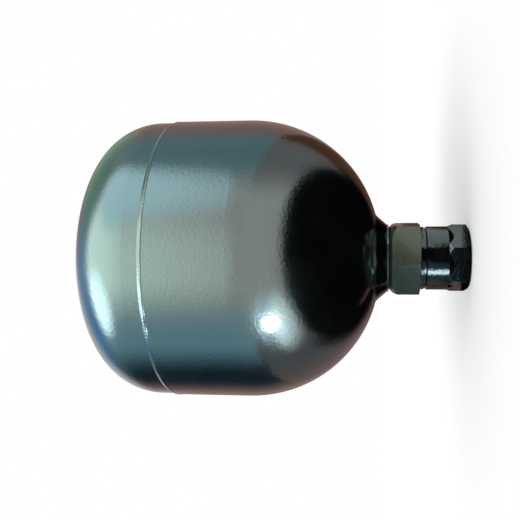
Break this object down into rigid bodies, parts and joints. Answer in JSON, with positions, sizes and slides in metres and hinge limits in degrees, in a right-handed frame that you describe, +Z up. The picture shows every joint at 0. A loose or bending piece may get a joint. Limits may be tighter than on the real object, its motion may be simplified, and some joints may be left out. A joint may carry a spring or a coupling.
{
  "type": "bladder accumulator",
  "caption": "Squat welded steel accumulator with domed ends, a hexagonal fluid port and an inner rubber bladder over a poppet valve.",
  "frame": {"origin": "centre of the fluid port's end face, at the bottom of the part", "axes": "+Z up the vessel's axis, from the fluid port to the gas end; X and Y are the other two directions"},
  "size_m": [0.1684, 0.1684, 0.2405],
  "materials": {
    "shell_paint": "glossy black enamel with fine orange peel",
    "weld_paint": "glossy black enamel over a weld bead",
    "adapter_finish": "satin black, machined under the coat",
    "nut_finish": "satin black, machined under the coat",
    "cap_finish": "satin black",
    "machined_steel": "turned",
    "zinc_steel": "zinc plated",
    "screw_steel": "black oxide",
    "spring_steel": "drawn wire",
    "bush_brass": "turned",
    "seal_rubber": "matte nitrile rubber",
    "bladder_rubber": "matte moulded rubber",
    "backup_plastic": "plain PTFE"
  },
  "bodies": {
    "vessel": {"fluid_end_shell": "shell_paint", "gas_end_cap": "shell_paint", "girth_weld": "weld_paint", "port_adapter": "adapter_finish", "port_seal_ring": "adapter_finish", "port_lock_nut": "nut_finish", "port_body": "machined_steel", "anti_extrusion_ring": "seal_rubber", "port_washer": "machined_steel", "port_o_ring": "seal_rubber", "port_backup_ring": "backup_plastic", "port_spacer": "machined_steel", "poppet_spring": "spring_steel", "bladder": "bladder_rubber", "gas_stem": "zinc_steel", "stem_o_ring": "seal_rubber", "stem_washer": "zinc_steel", "stem_lock_nut": "zinc_steel", "charging_screw": "screw_steel", "charging_screw_seal": "backup_plastic", "valve_cap": "cap_finish"},
    "poppet_valve": {"poppet": "machined_steel", "poppet_damping_bush": "bush_brass", "poppet_lock_nut": "zinc_steel"}
  },
  "joints": [
    {"name": "poppet_slide", "type": "slide", "parent": "vessel", "child": "poppet_valve", "axis": [0, 0, 1], "range_m": [-0.008, 0], "stiffness_N_per_m": 1500, "springref_m": 0.006, "deforming": ["poppet_spring"]}
  ]
}
